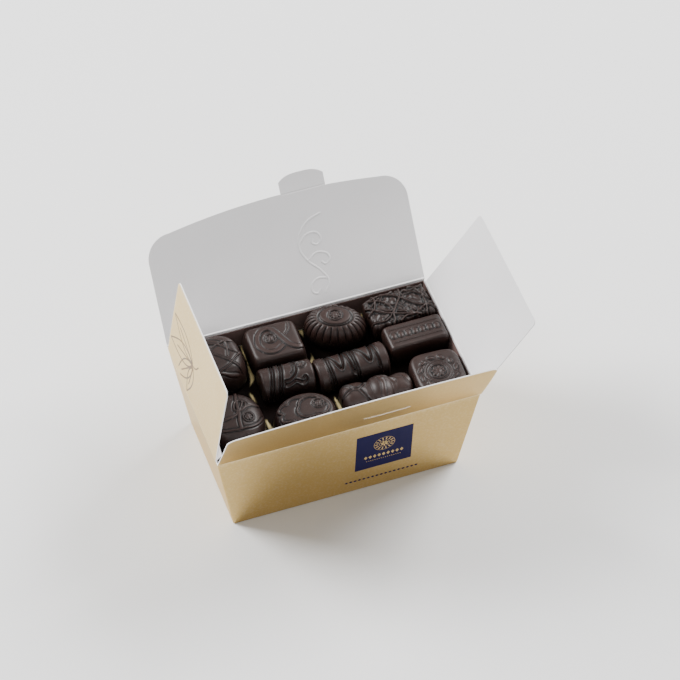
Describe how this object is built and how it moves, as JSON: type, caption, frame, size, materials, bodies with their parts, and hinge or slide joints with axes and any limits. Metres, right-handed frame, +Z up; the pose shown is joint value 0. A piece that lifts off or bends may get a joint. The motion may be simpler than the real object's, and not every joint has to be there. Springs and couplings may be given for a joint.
{
  "type": "open carton of chocolate pralines",
  "caption": "Open folding carton with four standing flaps and a tuck tab, filled with dark moulded chocolate pralines of different shapes.",
  "frame": {"origin": "centre of the carton's flat underside, in the plane it stands on", "axes": "+X along the carton to the right as seen from the label side, -Y towards the label side (the front), +Z up"},
  "size_m": [0.1573, 0.1365, 0.1074],
  "materials": {
    "gold_card": "satin metallic gold print",
    "light_gold_card": "satin metallic gold print",
    "white_card": "plain white card",
    "gold_pad": "gold foil card",
    "brown_lining": "dark brown glazed paper",
    "chocolate": "satin dark chocolate"
  },
  "bodies": {
    "carton": {"tray": "gold_card", "liner": "brown_lining", "layer_pad": "gold_pad", "unseen_fill": "chocolate", "praline_net_dome": "chocolate", "praline_ribbon_square": "chocolate", "praline_fluted_oval": "chocolate", "praline_piped_block": "chocolate", "praline_scroll_log": "chocolate", "praline_zigzag_log": "chocolate", "praline_beaded_bar": "chocolate", "praline_crossed_oval": "chocolate", "praline_scallop_oval": "chocolate", "praline_knotted_log": "chocolate", "praline_wreath_square": "chocolate"},
    "lid": {"lid_flap": "white_card"},
    "tab": {"lid_tab": "white_card"},
    "front": {"front_flap": "gold_card"},
    "right": {"right_flap": "white_card"},
    "left": {"left_flap": "light_gold_card"}
  },
  "joints": [
    {"name": "lid_fold", "type": "hinge", "parent": "carton", "child": "lid", "pos_m": [0, 0.0384, 0.0543], "axis": [1, 0, 0], "range_deg": [-103, 38]},
    {"name": "tab_fold", "type": "hinge", "parent": "lid", "child": "tab", "pos_m": [0.0151, 0.0724, 0.09992], "axis": [1, 0, 0], "range_deg": [-20, 90]},
    {"name": "front_fold", "type": "hinge", "parent": "carton", "child": "front", "pos_m": [0, -0.0384, 0.0543], "axis": [-1, 0, 0], "range_deg": [-114, 27]},
    {"name": "right_fold", "type": "hinge", "parent": "carton", "child": "right", "pos_m": [0.065, 0, 0.0543], "axis": [0, -1, 0], "range_deg": [-104, 76]},
    {"name": "left_fold", "type": "hinge", "parent": "carton", "child": "left", "pos_m": [-0.065, 0, 0.0543], "axis": [0, 1, 0], "range_deg": [-148, 52]}
  ]
}
